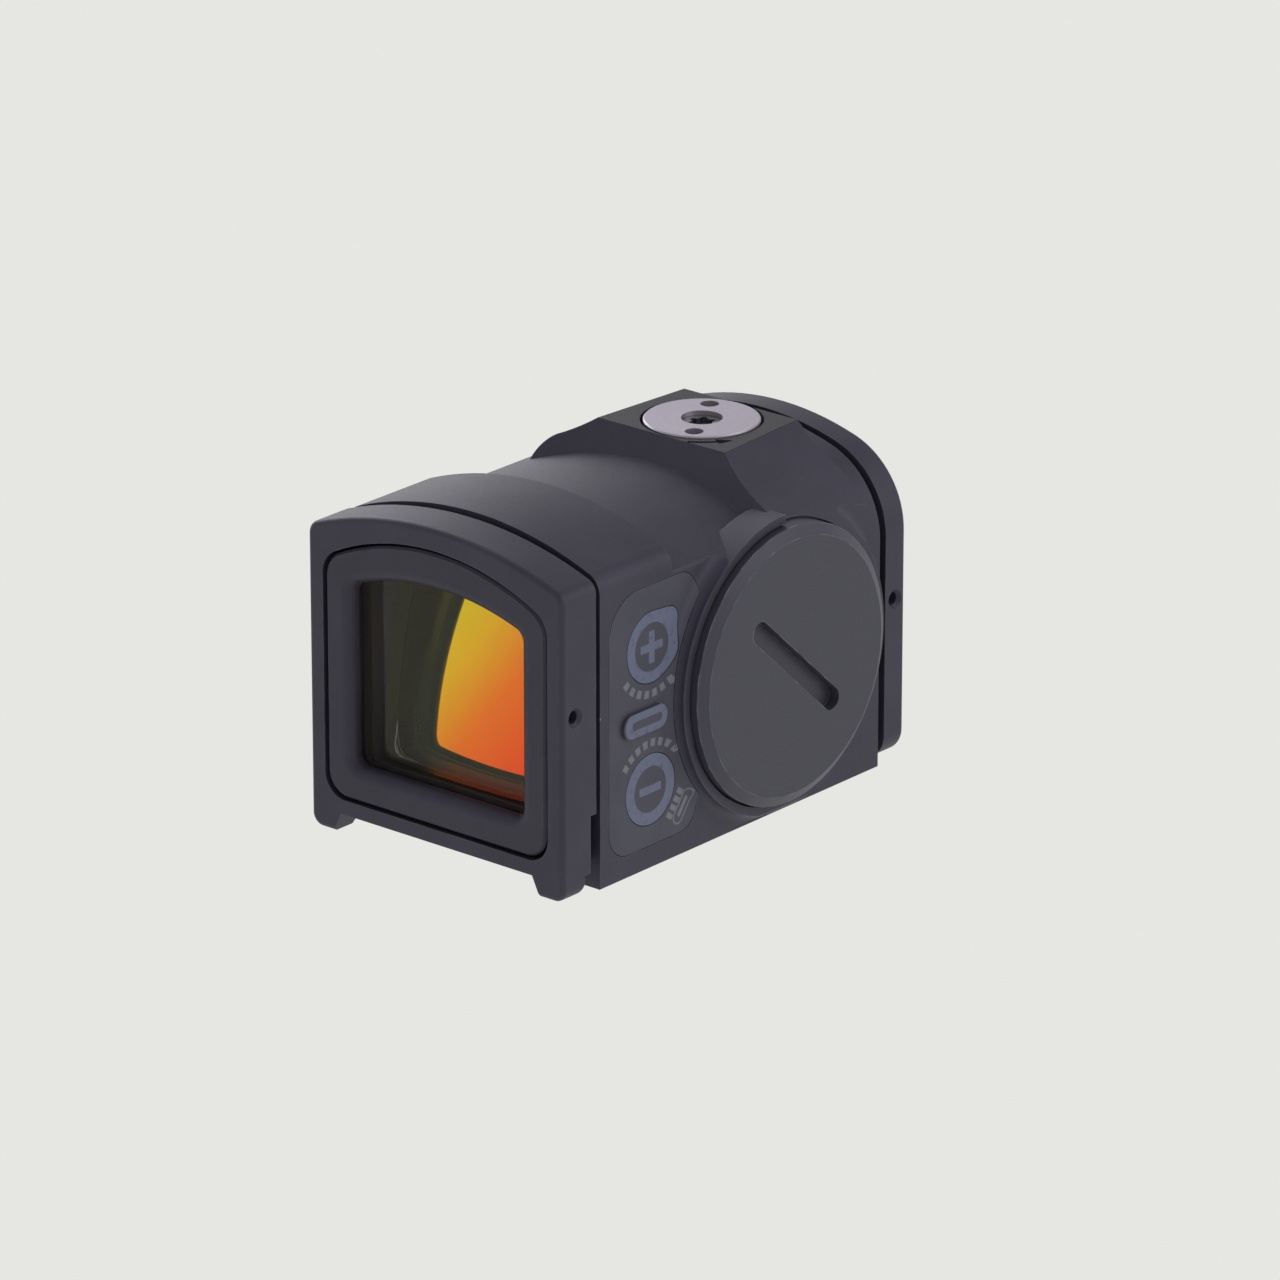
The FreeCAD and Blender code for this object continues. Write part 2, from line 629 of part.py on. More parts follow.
def battery_cap_seal():
    return torus(V(15.3, CAP_Y, CAP_Z), V(1, 0, 0), 12.3, 0.37)


def battery_cell():
    """CR2032 coin cell: the can and the smaller raised negative face."""
    can = cyl_x(CELL_R, CELL_X[0] + 0.5, CELL_X[1], CAP_Y, CAP_Z)
    can = can.makeFillet(0.35, [can.Edges[0], can.Edges[2]])
    face = Part.makeCone(8.3, 9.3, 0.5, V(CELL_X[0], CAP_Y, CAP_Z), V(1, 0, 0))
    return fused([can, face])


def battery_contact():
    """Springy contact under the cell: a disc with three bent fingers and a lead."""
    plate = cyl_x(6.0, BAY_FLOOR_X + 0.05, BAY_FLOOR_X + 0.25, CAP_Y, CAP_Z)
    lead = box(BAY_FLOOR_X + 0.05, BAY_FLOOR_X + 0.25, CAP_Y - 1.0, CAP_Y + 1.0, 4.3, CAP_Z - 5)
    foot_strip = box(8.2, BAY_FLOOR_X + 0.25, CAP_Y - 1.0, CAP_Y + 1.0, 4.15, 4.35)
    fingers = []
    for step in range(3):
        angle = math.radians(90 + 120 * step)
        y, z = CAP_Y + 3.6 * math.cos(angle), CAP_Z + 3.6 * math.sin(angle)
        fingers.append(Part.makeCone(1.1, 0.5, 0.46, V(BAY_FLOOR_X + 0.25, y, z), V(1, 0, 0)))
    return fused([plate, lead, foot_strip] + fingers)


def battery_insulator():
    ring = cyl_x(9.6, BAY_FLOOR_X + 0.02, BAY_FLOOR_X + 0.4, CAP_Y, CAP_Z)
    ring = ring.cut(cyl_x(6.3, BAY_FLOOR_X - 1, BAY_FLOOR_X + 1, CAP_Y, CAP_Z))
    return ring.cut(box(BAY_FLOOR_X - 1, 12, CAP_Y - 1.2, CAP_Y + 1.2, 0, CAP_Z - 4))


# ---- Keypad ----
def side_surface():
    """Solid bounded by the side wall and the flare around the cap."""
    return fused([box(PAD_BACK_X, HALF_WIDTH, 0, 30, 0, 30), flare_ring()])


def keypad_panel():
    """Rubber panel that follows the side wall and the flare, with a raised bar between the keys."""
    panel = pad_prism(PAD_BACK_X + 0.02, 20, FIT).common(side_surface())
    bar = box(PAD_BACK_X + 0.5, 20, 7.8, 13.6, 12.85, 15.15)
    bar = bar.makeFillet(1.1, [e for e in bar.Edges if e.BoundBox.XLength > 1])
    raised = side_surface()
    raised.translate(V(0.35, 0, 0))
    panel = panel.fuse(bar.common(raised).common(pad_prism(PAD_BACK_X, 20, FIT)))
    for outline, centre in ((drop_prism, PLUS_KEY), (disc_prism, MINUS_KEY)):
        panel = panel.cut([
            outline(10, 20, centre, KEY_GAP),
            outline(PAD_BACK_X - 1, KEY_BACK_X + 0.38, centre, 0.4),
        ])
    return panel


def key(outline, centre):
    """One key: a cap flush with the panel and a flange that keeps it in."""
    face = outline(KEY_BACK_X, 20, centre, 0).common(side_surface())
    flange = outline(KEY_BACK_X, KEY_BACK_X + 0.35, centre, 0.3)
    return fused([face, flange]).common(pad_prism(PAD_BACK_X, 20, 0.2))


def plus_key():
    return key(drop_prism, PLUS_KEY)


def minus_key():
    return key(disc_prism, MINUS_KEY)


def keypad_board():
    blank = box(BOARD_FLOOR_X + 0.05, BOARD_FLOOR_X + 0.55, PAD_Y[0] + 1.1, 15.3, PAD_Z[0] + 1.3, PAD_Z[1] - 1.7)
    return blank.common(pad_prism(BOARD_FLOOR_X, PAD_BACK_X, 1.0))


def key_domes():
    """Snap domes that the keys just reach at the end of their travel."""
    base = BOARD_FLOOR_X + 0.56
    height = KEY_BACK_X - KEY_TRAVEL - 0.03 - base
    domes = [Part.makeCone(2.3, 1.2, height, V(base, *centre), V(1, 0, 0)) for centre in (PLUS_KEY, MINUS_KEY)]
    return Part.makeCompound(domes)


def keypad_flex():
    """Flat strip between the keypad board and the main board."""
    return box(8.2, BOARD_FLOOR_X, 13.5, 15.9, 4.15, 4.3)


# ---- Adjusters, built with the outward direction along +Z ----
def adjuster_dial():
    disc = cyl_z(DIAL_R, DIAL_UNDERSIDE, DIAL_PROUD, 0, 0)
    rim = [e for e in disc.Edges if e.BoundBox.ZMin > DIAL_PROUD - 1e-4]
    disc = disc.makeChamfer(0.12, rim)
    stem = cyl_z(STEM_R, -4.5, DIAL_UNDERSIDE, 0, 0)
    cuts = [cyl_z(SCREW_R, -5, 1, 0, 0), cyl_z(1.9, -0.9, 1, 0, 0)]
    cuts.append(cyl_z(3, -2.45, -1.72, 0, 0).cut(cyl_z(1.92, -3, -1, 0, 0)))
    cuts.append(cyl_z(3, -4.25, -3.82, 0, 0).cut(cyl_z(2.05, -5, -3, 0, 0)))
    race = cyl_z(4.9, -2, -1.18, 0, 0).cut(cyl_z(3.7, -3, 0, 0, 0))
    cuts.append(race)
    for angle in (119.5, 299.5):
        x, y = 3.85 * math.cos(math.radians(angle)), 3.85 * math.sin(math.radians(angle))
        cuts.append(cyl_z(0.85, -0.95, 1, x, y))
    for step in range(DETENT_COUNT):
        angle = 2 * math.pi * step / DETENT_COUNT
        x, y = DETENT_RADIUS * math.cos(angle), DETENT_RADIUS * math.sin(angle)
        cuts.append(cyl_z(0.3, -1.5, -1.05, x, y))
    return fused([disc, stem]).cut(cuts)


def adjuster_screw(tip):
    """Six-lobe screw through the dial, down to the given depth."""
    head = cyl_z(SCREW_HEAD_R, -0.9, -0.25, 0, 0)
    shank = cyl_z(SCREW_R, tip, -0.9, 0, 0)
    core = cyl_z(0.95, -0.8, 0, 0, 0)
    lobes = []
    for step in range(6):
        angle = math.radians(60 * step)
        lobes.append(cyl_z(0.3, -0.8, 0, 0.98 * math.cos(angle), 0.98 * math.sin(angle)))
    return fused([head, shank]).cut([core] + lobes)


def adjuster_seal():
    return torus(V(0, 0, -2.08), V(0, 0, 1), 2.27, 0.33)


def adjuster_clip():
    """Open ring in the stem's groove, inside the housing wall."""
    ring = cyl_z(3.2, -4.2, -3.86, 0, 0).cut(cyl_z(2.08, -5, -3, 0, 0))
    return ring.cut(box(-1.3, 1.3, 0, 4, -5, -3))


def detent_ball():
    return Part.makeSphere(0.5, V(DETENT_RADIUS, 0, -1.76))


def detent_spring():
    return coil(0.38, 0.07, 0.8, 3, V(DETENT_RADIUS, 0, -3.2), V(0, 0, 1))


# ---- Emitter carriage ----
def elevation_stage():
    """Frame that slides up and down on two pins and carries the windage stage."""
    frame = box(-CARRIAGE_HALF, CARRIAGE_HALF, CARRIAGE_START, STAGE_SPLIT, 4.0, 26.6)
    shelf = box(-3.4, 3.4, STAGE_SPLIT - 0.2, 38.6, 25.0, 26.6)
    lugs = []
    for z in ROD_Z:
        for side in (-1, 1):
            x0, x1 = sorted((side * 9.15, side * CARRIAGE_HALF))
            lugs.append(box(x0, x1, STAGE_SPLIT - 0.2, 36.1, z - 0.9, z + 0.9))
    spring_lug = box(9.15, CARRIAGE_HALF, STAGE_SPLIT - 0.2, 37.2, 4.6, 7.6)
    cuts = [
        box(-7.0, 7.0, 30, 34, 8.8, 23.6),
        box(-2.6, 2.6, 30, 34, 4.6, 9),
        cyl_z(2.2, 24, 27, 0, ADJUSTER_Y),
    ]
    for x in (-PIN_X, PIN_X):
        cuts.append(cyl_z(PIN_R + FIT, 3, 28, x, PIN_Y))
    for x in (-5.0, 5.0):
        cuts.append(cyl_z(0.95, 3.9, 7.5, x, PIN_Y))
    for z in ROD_Z:
        cuts.append(cyl_x(ROD_R, -11, 11, ROD_Y, z))
    return fused([frame, shelf, spring_lug] + lugs).cut(cuts)


def elevation_nut():
    """Brass insert in the stage's shelf that runs on the elevation screw."""
    return cyl_z(2.2, 25.0, 26.6, 0, ADJUSTER_Y).cut(cyl_z(SCREW_R + FIT, 24, 28, 0, ADJUSTER_Y))


def windage_stage():
    """Frame that slides sideways on two rods and holds the emitter."""
    start = STAGE_SPLIT + STAGE_GAP
    frame = box(-8.6, 8.6, start, CARRIAGE_END, 4.6, 24.7)
    cuts = [
        box(-7.4, 7.4, 33, 38, 8.6, 23.2),
        box(-2.6, 2.6, start - 1, start + 1.2, 4.5, 7.6),
        cyl_x(1.8, -9, -7, ADJUSTER_Y, AXIS_Z),
        cyl_x(0.75, 4.6, 9, 36.4, 5.6),
    ]
    for z in ROD_Z:
        cuts.append(cyl_x(ROD_R + FIT, -9, 9, ROD_Y, z))
    return frame.cut(cuts)


def windage_plunger():
    """Square nut that the windage screw drives against the stage."""
    block = box(-9.65, -8.63, ADJUSTER_Y - 2.15, ADJUSTER_Y + 2.15, AXIS_Z - 2.2, AXIS_Z + 2.2)
    return block.cut(cyl_x(SCREW_R + FIT, -11, -8, ADJUSTER_Y, AXIS_Z))


def stage_pins():
    return Part.makeCompound([cyl_z(PIN_R, 2.4, 28.7, x, PIN_Y) for x in (-PIN_X, PIN_X)])


def stage_rods():
    return Part.makeCompound([cyl_x(ROD_R, -9.7, 9.7, ROD_Y, z) for z in ROD_Z])


def elevation_springs():
    springs = [coil(0.7, 0.12, 4.1, 5.5, V(x, PIN_Y, 3.15), V(0, 0, 1)) for x in (-5.0, 5.0)]
    return Part.makeCompound(springs)


def windage_spring():
    return coil(0.52, 0.1, 4.1, 6, V(4.85, 36.4, 5.6), V(1, 0, 0))


def emitter_board():
    return box(-2.4, 2.4, 34.55, 35.15, 4.75, 6.95)


def emitter():
    package = box(-0.8, 0.8, 34.15, 34.54, EMITTER_Z - 0.5, EMITTER_Z + 0.5)
    lens = cyl_y(0.3, 34.0, 34.15, 0, EMITTER_Z)
    return fused([package, lens])


# ---- Electronics ----
def main_board():
    board = box(-8.3, 8.3, 13.2, 30.6, 3.31, 4.1)
    holes = [cyl_z(0.55, 3, 5, x, y) for x in (-7.2, 7.2) for y in (14.2, 29.2)]
    return board.cut(holes)


def board_chips():
    chips = [
        box(-2.5, 2.5, 18.5, 23.5, 4.11, 4.75),
        box(-6.3, -3.9, 20.5, 22.5, 4.11, 4.6),
        box(3.8, 5.4, 17.2, 20.0, 4.11, 4.7),
        box(-5.6, -4.6, 25.6, 27.6, 4.11, 4.7),
    ]
    return Part.makeCompound(chips)


def board_screws():
    screws = []
    for x in (-7.2, 7.2):
        for y in (14.2, 29.2):
            head = cyl_z(0.95, 4.11, 4.6, x, y)
            shank = cyl_z(0.46, 2.4, 4.11, x, y)
            slot = box(x - 1, x + 1, y - 0.15, y + 0.15, 4.4, 5)
            screws.append(fused([head, shank]).cut(slot))
    return Part.makeCompound(screws)


def tunnel_baffle():
    """Ridged plate over the main board that stops stray light."""
    plate = box(-8.6, 8.6, 13.0, 31.0, 4.92, 5.3)
    ridges = [box(-8.6, 8.6, 14.2 + 2.8 * step, 14.6 + 2.8 * step, 5.3, 5.8) for step in range(6)]
    return fused([plate] + ridges)


# ---- Output ----
def save(name, shape):
    moved = shape.copy()
    moved.translate(V(0, -(FRONT_Y + REAR_Y) / 2, -BASE_RELIEF))
    moved.exportStep(os.path.join("parts", name + ".step"))


def main():
    os.makedirs("parts", exist_ok=True)
    pieces = {
        "housing": housing, "front_bezel": front_bezel, "front_window": front_window,
        "front_window_seal": front_window_seal, "rear_bezel": rear_bezel, "rear_window": rear_window,
        "rear_window_seal": rear_window_seal, "front_lens": front_lens, "rear_lens": rear_lens,
        "lens_retainer": lens_retainer, "battery_cap": battery_cap, "battery_cap_seal": battery_cap_seal,
        "battery_cell": battery_cell, "battery_contact": battery_contact,
        "battery_insulator": battery_insulator, "keypad_panel": keypad_panel, "plus_key": plus_key,
        "minus_key": minus_key, "keypad_board": keypad_board, "key_domes": key_domes,
        "keypad_flex": keypad_flex, "elevation_stage": elevation_stage, "elevation_nut": elevation_nut,
        "windage_stage": windage_stage, "windage_plunger": windage_plunger, "stage_pins": stage_pins,
        "stage_rods": stage_rods, "elevation_springs": elevation_springs,
        "windage_spring": windage_spring, "emitter_board": emitter_board, "emitter": emitter,
        "main_board": main_board, "board_chips": board_chips, "board_screws": board_screws,
        "tunnel_baffle": tunnel_baffle,
    }
    for name, make in pieces.items():
        save(name, make())
    for side, place, tip in (("elevation", at_elevation, -6.55), ("windage", at_windage, -6.2)):
        save(side + "_dial", place(adjuster_dial()))
        save(side + "_screw", place(adjuster_screw(tip)))
        save(side + "_dial_seal", place(adjuster_seal()))
        save(side + "_clip", place(adjuster_clip()))
        save(side + "_detent_ball", place(detent_ball()))
        save(side + "_detent_spring", place(detent_spring()))


main()
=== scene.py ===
import math

import bpy
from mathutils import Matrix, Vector


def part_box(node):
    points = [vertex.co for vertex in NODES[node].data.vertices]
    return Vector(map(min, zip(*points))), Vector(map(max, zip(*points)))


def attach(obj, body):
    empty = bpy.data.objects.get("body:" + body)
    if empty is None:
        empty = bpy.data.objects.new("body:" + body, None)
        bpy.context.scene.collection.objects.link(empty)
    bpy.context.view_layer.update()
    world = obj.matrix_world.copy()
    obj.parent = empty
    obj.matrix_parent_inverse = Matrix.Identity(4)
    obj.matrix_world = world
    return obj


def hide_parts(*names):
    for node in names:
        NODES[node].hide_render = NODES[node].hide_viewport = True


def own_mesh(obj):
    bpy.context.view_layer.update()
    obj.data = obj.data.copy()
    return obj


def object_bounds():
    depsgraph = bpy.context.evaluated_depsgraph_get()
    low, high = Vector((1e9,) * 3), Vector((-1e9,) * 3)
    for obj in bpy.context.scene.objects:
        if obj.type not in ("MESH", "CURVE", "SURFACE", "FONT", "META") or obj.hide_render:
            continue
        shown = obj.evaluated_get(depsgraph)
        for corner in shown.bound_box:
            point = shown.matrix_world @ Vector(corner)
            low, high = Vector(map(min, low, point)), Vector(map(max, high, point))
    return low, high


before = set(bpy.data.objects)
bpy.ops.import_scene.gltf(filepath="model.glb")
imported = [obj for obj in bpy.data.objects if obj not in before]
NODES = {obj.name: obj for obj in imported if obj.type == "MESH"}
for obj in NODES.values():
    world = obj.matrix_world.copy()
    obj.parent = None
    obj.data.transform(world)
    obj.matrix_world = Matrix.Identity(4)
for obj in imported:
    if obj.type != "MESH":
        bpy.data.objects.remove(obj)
CAD_BOX = [list(corner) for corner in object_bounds()]
MM = 0.001


# ---- Places read from the frame ----
def low_corner(node):
    return Vector(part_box(node)[0])


def high_corner(node):
    return Vector(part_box(node)[1])


def middle(node):
    return (low_corner(node) + high_corner(node)) / 2


BASE_Z = CAD_BOX[0][2]
PAD_LOW = low_corner("keypad_panel")
LENS_LOW = low_corner("front_lens")
LENS_CENTRE = middle("front_lens")
PLATFORM_Z = high_corner("housing").z
LENS_LEAN = math.radians(10.5)
KEY_R = 3.6 * MM            # the keys' flange, which sets the low corner of their boxes
PLUS_CENTRE = low_corner("plus_key") + Vector((0, KEY_R, KEY_R))
MINUS_CENTRE = low_corner("minus_key") + Vector((0, KEY_R, KEY_R))


# ---- Shader building blocks ----
class Nodes:
    """Small helper that adds and links shader nodes in one material."""

    def __init__(self, name):
        self.material = bpy.data.materials.new(name)
        self.material.use_nodes = True
        self.tree = self.material.node_tree
        self.tree.nodes.clear()
        self.output = self.add("ShaderNodeOutputMaterial")

    def add(self, kind, inputs=None, **settings):
        node = self.tree.nodes.new(kind)
        for key, value in settings.items():
            setattr(node, key, value)
        for key, value in (inputs or {}).items():
            self.feed(node.inputs[key], value)
        return node

    def feed(self, socket, value):
        if isinstance(value, bpy.types.NodeSocket):
            self.tree.links.new(value, socket)
        else:
            socket.default_value = value

    def position(self):
        return self.add("ShaderNodeTexCoord").outputs["Object"]

    def math(self, operation, first, second=0.0, third=0.0, clamp=False):
        node = self.add("ShaderNodeMath", operation=operation, use_clamp=clamp)
        for socket, value in zip(node.inputs, (first, second, third)):
            self.feed(socket, value)
        return node.outputs[0]

    def vector(self, operation, first, second=(0, 0, 0)):
        node = self.add("ShaderNodeVectorMath", operation=operation)
        self.feed(node.inputs[0], first)
        self.feed(node.inputs[1], second)
        return node.outputs["Value" if operation in ("LENGTH", "DOT_PRODUCT", "DISTANCE") else "Vector"]

    def split(self, vector):
        return self.add("ShaderNodeSeparateXYZ", {0: vector}).outputs

    def noise(self, vector, scale, detail=2.0, roughness=0.5):
        return self.add("ShaderNodeTexNoise", {
            "Vector": vector, "Scale": scale, "Detail": detail, "Roughness": roughness}).outputs["Fac"]

    def band(self, value, low, high, smooth=True):
        """0 below low, 1 above high, a soft step between."""
        node = self.add("ShaderNodeMapRange", {
            "Value": value, "From Min": low, "From Max": high, "To Min": 0.0, "To Max": 1.0})
        node.interpolation_type = "SMOOTHSTEP" if smooth else "LINEAR"
        return node.outputs["Result"]

    def mix(self, factor, first, second):
        node = self.add("ShaderNodeMix", data_type="RGBA")
        self.feed(node.inputs["Factor"], factor)
        self.feed(node.inputs[6], first)
        self.feed(node.inputs[7], second)
        return node.outputs[2]

    def bump(self, height, distance):
        return self.add("ShaderNodeBump", {"Height": height, "Distance": distance}).outputs["Normal"]

    def transparent(self, tint):
        return self.add("ShaderNodeBsdfTransparent", {"Color": tint}).outputs[0]

    def glossy(self, colour, roughness):
        return self.add("ShaderNodeBsdfGlossy", {"Color": colour, "Roughness": roughness}).outputs[0]

    def blend(self, factor, first, second):
        """The first shader where factor is 0, the second where it is 1."""
        return self.add("ShaderNodeMixShader", {0: factor, 1: first, 2: second}).outputs[0]

    def finish(self, shader):
        self.tree.links.new(shader, self.output.inputs["Surface"])
        return self.material


def rgb(red, green, blue):
    return (red, green, blue, 1.0)


def shade(colour, factor):
    """A colour with its channels scaled by a factor."""
    return tuple(channel * factor for channel in colour[:3]) + (1.0,)


COOL = rgb(0.86, 0.84, 1.0)         # faint violet cast of the anodising's gloss
DUST_COLOUR = rgb(0.5, 0.5, 0.52)
SCUFF_COLOUR = rgb(0.55, 0.54, 0.56)
WORN_COLOUR = rgb(0.13, 0.125, 0.14)
# painted shade for the flat top of the housing, which catches little light
PAINTED_TOP_SHADE = rgb(0.004, 0.004, 0.005)
GRAIN_SCALE = 5200.0                # noise cells a metre in blasted or turned metal
METAL_SPECULAR = 0.42
RUBBER_SPECULAR = 0.4
POLISH = 0.01                       # roughness of a polished optical face


def edge_mask(nodes, radius):
    """1 on sharp outer and inner edges, 0 on flat stretches."""
    rounded = nodes.add("ShaderNodeBevel", {"Radius": radius}, samples=4).outputs["Normal"]
    sharp = nodes.add("ShaderNodeNewGeometry").outputs["Normal"]
    return nodes.band(nodes.vector("DOT_PRODUCT", rounded, sharp), 0.995, 0.93)


def dusty(nodes, place, colour, amount, strength):
    """The colour with sparse pale specks on it, 0.1 to 0.2 mm across."""
    cells = nodes.add("ShaderNodeTexVoronoi", {"Vector": place, "Scale": 900.0, "Randomness": 1.0})
    speck = nodes.band(cells.outputs["Distance"], 0.17, 0.08)
    rare = nodes.band(nodes.noise(place, 330.0, 1.0), 0.80 - 0.12 * amount, 0.86 - 0.12 * amount)
    specks = nodes.math("MULTIPLY", speck, rare)
    return nodes.mix(nodes.math("MULTIPLY", specks, strength), colour, DUST_COLOUR)


def worn_edges(nodes, place, radius, scale, low, high):
    """Sharp edges, broken up by noise as wear is."""
    patches = nodes.band(nodes.noise(place, scale), low, high)
    return nodes.math("MULTIPLY", edge_mask(nodes, radius), patches)


# ---- Materials ----
def anodised(name, base, grain=0.010, dust_amount=0.5, shaded_top_z=None):
    """Blasted and anodised aluminium: fine grain, faint blotches, paler edges and a few dust specks.

    Above the given height the top face is painted almost black: painted shade on the flat top, which catches
    little light.
    """
    nodes = Nodes(name)
    place = nodes.position()
    fine = nodes.noise(place, GRAIN_SCALE, 2.0, 0.7)
    blotch = nodes.band(nodes.noise(place, 160.0, 3.0, 0.6), 0.25, 0.75)
    edges = worn_edges(nodes, place, 0.16 * MM, 420.0, 0.3, 0.75)
    colour = nodes.mix(blotch, shade(base, 0.8), base)
    colour = nodes.mix(nodes.math("MULTIPLY", edges, 0.55), colour, WORN_COLOUR)
    colour = dusty(nodes, place, colour, dust_amount, 0.55)
    # painted shade: the top face above the given height is painted almost black
    if shaded_top_z is not None:
        painted_top_shade = nodes.band(nodes.split(place)[2], shaded_top_z, shaded_top_z + 0.01 * MM)
        colour = nodes.mix(nodes.math("MULTIPLY", painted_top_shade, 0.92), colour, PAINTED_TOP_SHADE)
    shader = nodes.add("ShaderNodeBsdfPrincipled", {
        "Base Color": colour, "Roughness": nodes.math("MULTIPLY_ADD", fine, 0.22, 0.39),
        "Specular IOR Level": METAL_SPECULAR, "Specular Tint": COOL, "Normal": nodes.bump(fine, grain * MM),
    })
    return nodes.finish(shader.outputs[0])


def turned(name, base, centre, axis, ring_mm, metallic, roughness, scuff):
    """Lathe-turned face: rings about an axis, which catch the light, over a plain colour."""
    nodes = Nodes(name)
    place = nodes.position()
    offset = nodes.vector("SUBTRACT", place, tuple(centre))
    flat = nodes.vector("MULTIPLY", offset, tuple(0.0 if i == axis else 1.0 for i in range(3)))
    radius = nodes.vector("LENGTH", flat)
    rings = nodes.add("ShaderNodeTexNoise", {"W": radius, "Scale": 1.0 / (ring_mm * MM), "Detail": 2.0},
                      noise_dimensions="1D").outputs["Fac"]
    fine = nodes.noise(place, GRAIN_SCALE, 2.0, 0.7)
    height = nodes.math("MULTIPLY_ADD", fine, 0.5, rings)
    edges = worn_edges(nodes, place, 0.14 * MM, 700.0, 0.35, 0.7)
    colour = nodes.mix(nodes.band(rings, 0.3, 0.7), shade(base, 0.82), base)
    colour = nodes.mix(nodes.math("MULTIPLY", edges, scuff), colour, SCUFF_COLOUR)
    colour = dusty(nodes, place, colour, 0.3, 0.4)
    shader = nodes.add("ShaderNodeBsdfPrincipled", {
        "Base Color": colour, "Roughness": nodes.math("MULTIPLY_ADD", rings, 0.16, roughness - 0.08),
        "Metallic": metallic, "Specular IOR Level": METAL_SPECULAR, "Specular Tint": COOL,
        "Normal": nodes.bump(height, 0.008 * MM),
    })
    return nodes.finish(shader.outputs[0])


class Marks:
    """Printed marks in the YZ plane: each call gives a mask that is 1 where there is ink."""

    def __init__(self, nodes, place):
        self.nodes = nodes
        axes = nodes.split(place)
        self.y, self.z = axes[1], axes[2]
        self.masks = []

    def offset(self, centre):
        nodes = self.nodes
        return nodes.math("SUBTRACT", self.y, centre[0]), nodes.math("SUBTRACT", self.z, centre[1])

    def below(self, distance, limit):
        """Ink where the distance is below the limit, with a soft edge."""
        return self.nodes.band(distance, limit + 0.04 * MM, limit - 0.04 * MM)

    def bar(self, centre, half_y, half_z, round_off=0.1 * MM, turn=0.0):
        """A bar with rounded corners, turned anticlockwise as seen from the right side."""
        nodes = self.nodes
        across, up = self.offset(centre)
        cos, sin = math.cos(turn), math.sin(turn)
        along = nodes.math("MULTIPLY_ADD", across, cos, nodes.math("MULTIPLY", up, sin))
        over = nodes.math("MULTIPLY_ADD", up, cos, nodes.math("MULTIPLY", across, -sin))
        reach = []
        for value, half in ((along, half_y), (over, half_z)):
            beyond = nodes.math("SUBTRACT", nodes.math("ABSOLUTE", value), half - round_off)
            reach.append(nodes.math("MAXIMUM", beyond, 0.0))
        square = nodes.math("MULTIPLY_ADD", reach[0], reach[0], nodes.math("MULTIPLY", reach[1], reach[1]))
        return self.below(nodes.math("SQRT", square), round_off)

    def radius(self, centre):
        nodes = self.nodes
        across, up = self.offset(centre)
        square = nodes.math("MULTIPLY_ADD", across, across, nodes.math("MULTIPLY", up, up))
        return nodes.math("SQRT", square)

    def tick_arc(self, centre, middle_r, start, end, count):
        """Short radial ticks between two angles, given in degrees from the +Y direction."""
        nodes = self.nodes
        across, up = self.offset(centre)
        angle = nodes.math("ARCTAN2", up, across)
        step = math.radians(end - start) / count
        place = nodes.math("MULTIPLY_ADD", angle, 1 / step, -math.radians(start) / step)
        inside = nodes.math("MULTIPLY", nodes.math("GREATER_THAN", place, 0.0),
                            nodes.math("LESS_THAN", place, float(count)))
        within = nodes.math("ABSOLUTE", nodes.math("SUBTRACT", nodes.math("FRACT", place), 0.5))
        ticks = nodes.math("MULTIPLY", inside, nodes.band(within, 0.33, 0.25))
        away = nodes.math("ABSOLUTE", nodes.math("SUBTRACT", self.radius(centre), middle_r))
        return nodes.math("MULTIPLY", ticks, self.below(away, 0.36 * MM))

    def add(self, mask, cut=None):
        """Keep a mask, less what a second one cuts out of it."""
        if cut is not None:
            mask = self.nodes.math("SUBTRACT", mask, cut, clamp=True)
        self.masks.append(mask)

    def total(self):
        mask = self.masks[0]
        for other in self.masks[1:]:
            mask = self.nodes.math("MAXIMUM", mask, other)
        return mask


def plus_marks(marks):
    """A pale key with a dark disc and a plus sign."""
    centre = (PLUS_CENTRE.y, PLUS_CENTRE.z)
    marks.add(marks.nodes.band(marks.radius(centre), 2.2 * MM, 2.3 * MM))
    marks.add(marks.bar(centre, 1.5 * MM, 0.38 * MM))
    marks.add(marks.bar(centre, 0.38 * MM, 1.5 * MM))


def minus_marks(marks):
    """A pale key with a dark disc and a minus sign."""
    centre = (MINUS_CENTRE.y, MINUS_CENTRE.z)
    marks.add(marks.nodes.band(marks.radius(centre), 2.1 * MM, 2.2 * MM))
    marks.add(marks.bar(centre, 1.45 * MM, 0.38 * MM))


def panel_outlines(marks):
    """The outline on the raised bar between the keys."""
    centre = (PAD_LOW.y + 4.75 * MM, (PLUS_CENTRE.z + MINUS_CENTRE.z) / 2 + 0.05 * MM)
    outside = marks.bar(centre, 2.85 * MM, 1.1 * MM, 0.95 * MM)
    inside = marks.bar(centre, 2.0 * MM, 0.4 * MM, 0.35 * MM)
    marks.add(outside, inside)


